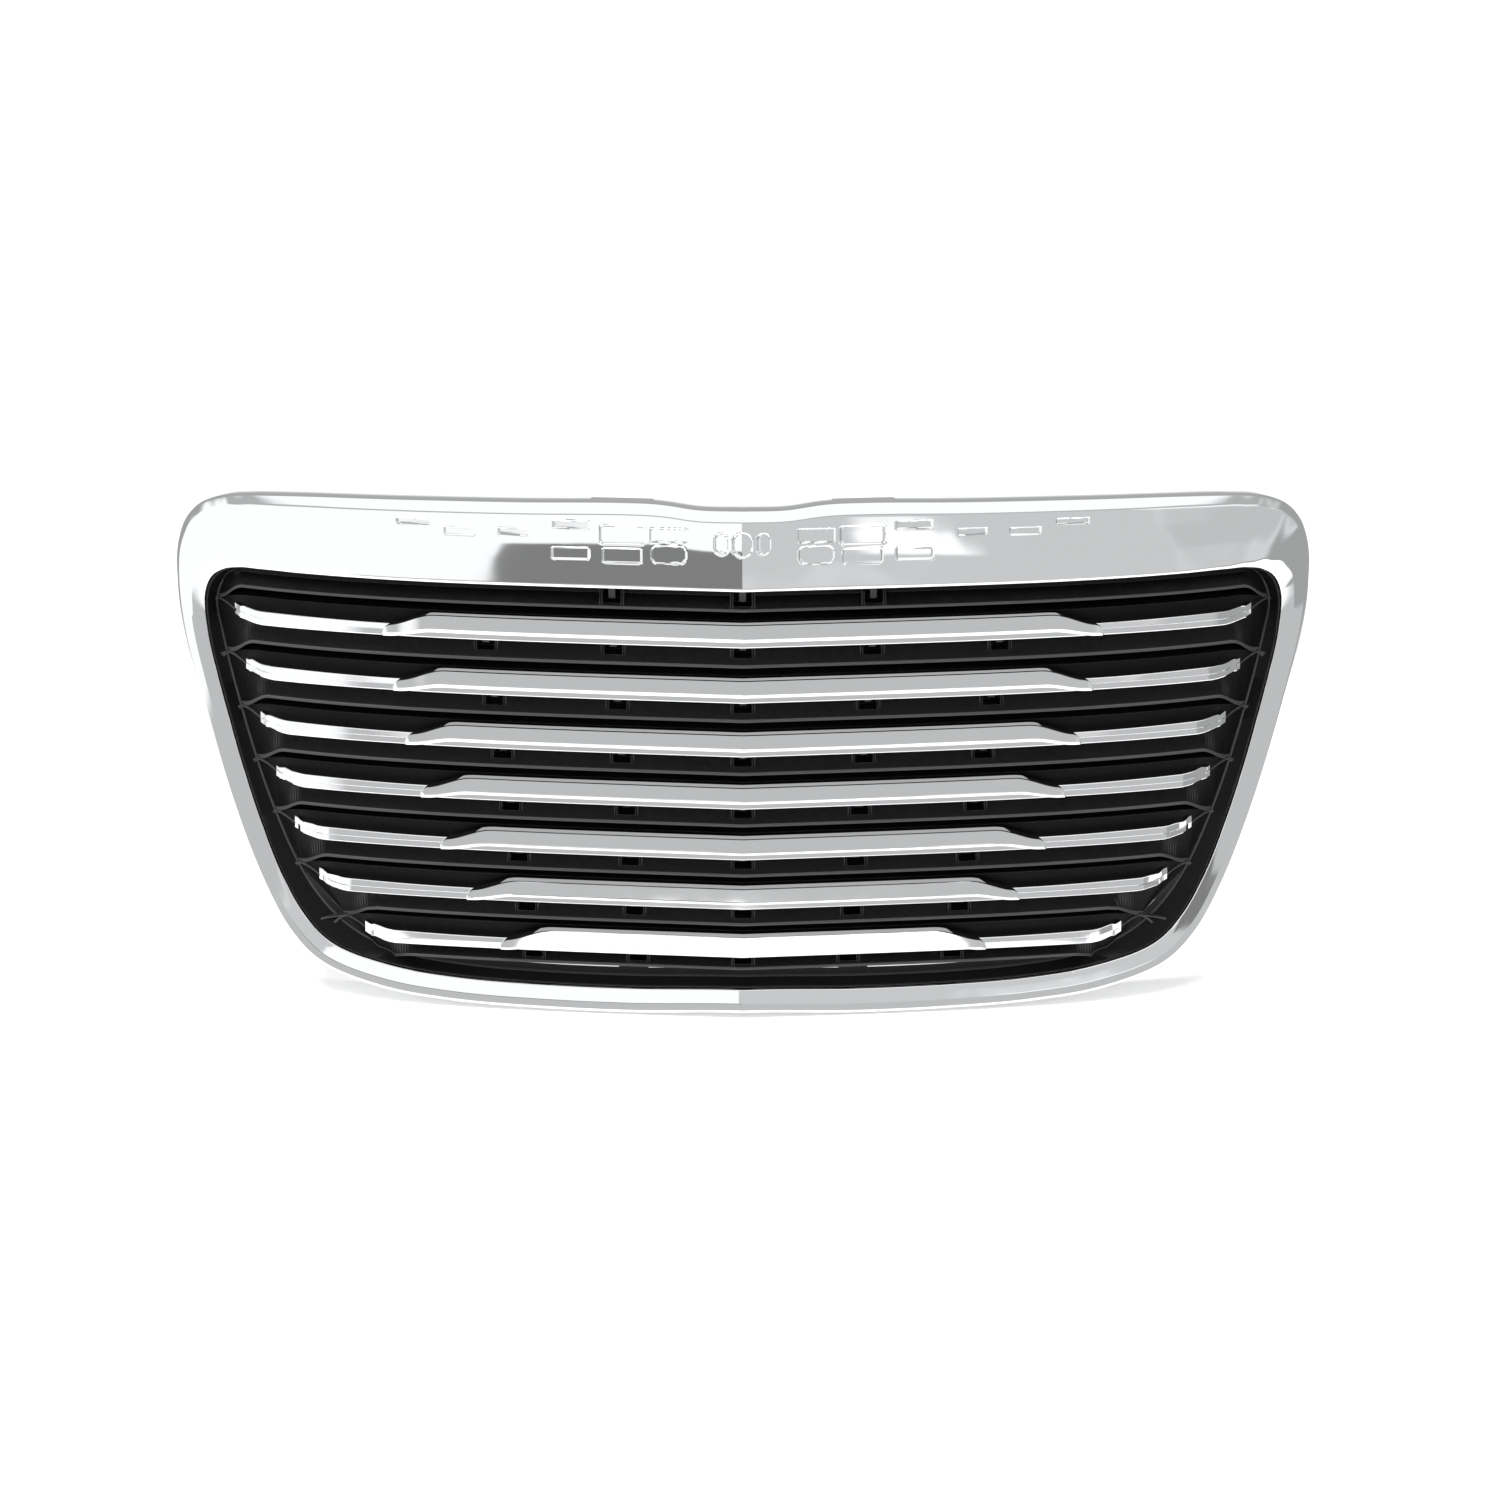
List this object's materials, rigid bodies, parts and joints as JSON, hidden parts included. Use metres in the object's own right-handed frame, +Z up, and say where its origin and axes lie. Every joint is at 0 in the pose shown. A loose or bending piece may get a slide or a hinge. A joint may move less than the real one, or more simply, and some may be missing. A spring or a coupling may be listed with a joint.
{
  "type": "front grille",
  "caption": "Swept V-shaped car front grille: chromed surround with a deep header, black louver insert and stepped chromed bars.",
  "frame": {"origin": "centre of the grille's bounding box", "axes": "+X across the car, +Y towards the rear (the front faces -Y), +Z up"},
  "size_m": [0.9, 0.141, 0.414],
  "materials": {
    "chrome": "bright chrome plating on moulded plastic",
    "black_plastic": "satin black, fine moulded grain",
    "zinc": "zinc plated",
    "spring_steel": "phosphated spring steel"
  },
  "bodies": {
    "root": {"chrome_surround": "chrome", "louver_insert": "black_plastic", "chrome_bar_1": "chrome", "chrome_bar_2": "chrome", "chrome_bar_3": "chrome", "chrome_bar_4": "chrome", "chrome_bar_5": "chrome", "chrome_bar_6": "chrome", "chrome_bar_7": "chrome", "surround_screw_1": "zinc", "surround_screw_2": "zinc", "surround_screw_3": "zinc", "surround_screw_4": "zinc", "surround_screw_5": "zinc", "surround_screw_6": "zinc", "surround_screw_7": "zinc", "surround_screw_8": "zinc", "surround_screw_9": "zinc", "surround_screw_10": "zinc", "surround_screw_11": "zinc", "surround_screw_12": "zinc", "bar_1_screw_left": "zinc", "bar_1_screw_right": "zinc", "bar_2_screw_left": "zinc", "bar_2_screw_right": "zinc", "bar_3_screw_left": "zinc", "bar_3_screw_right": "zinc", "bar_4_screw_left": "zinc", "bar_4_screw_right": "zinc", "bar_5_screw_left": "zinc", "bar_5_screw_right": "zinc", "bar_6_screw_left": "zinc", "bar_6_screw_right": "zinc", "bar_7_screw_left": "zinc", "bar_7_screw_right": "zinc", "spring_nut_1": "spring_steel", "spring_nut_2": "spring_steel", "spring_nut_3": "spring_steel", "spring_nut_4": "spring_steel"}
  },
  "joints": []
}
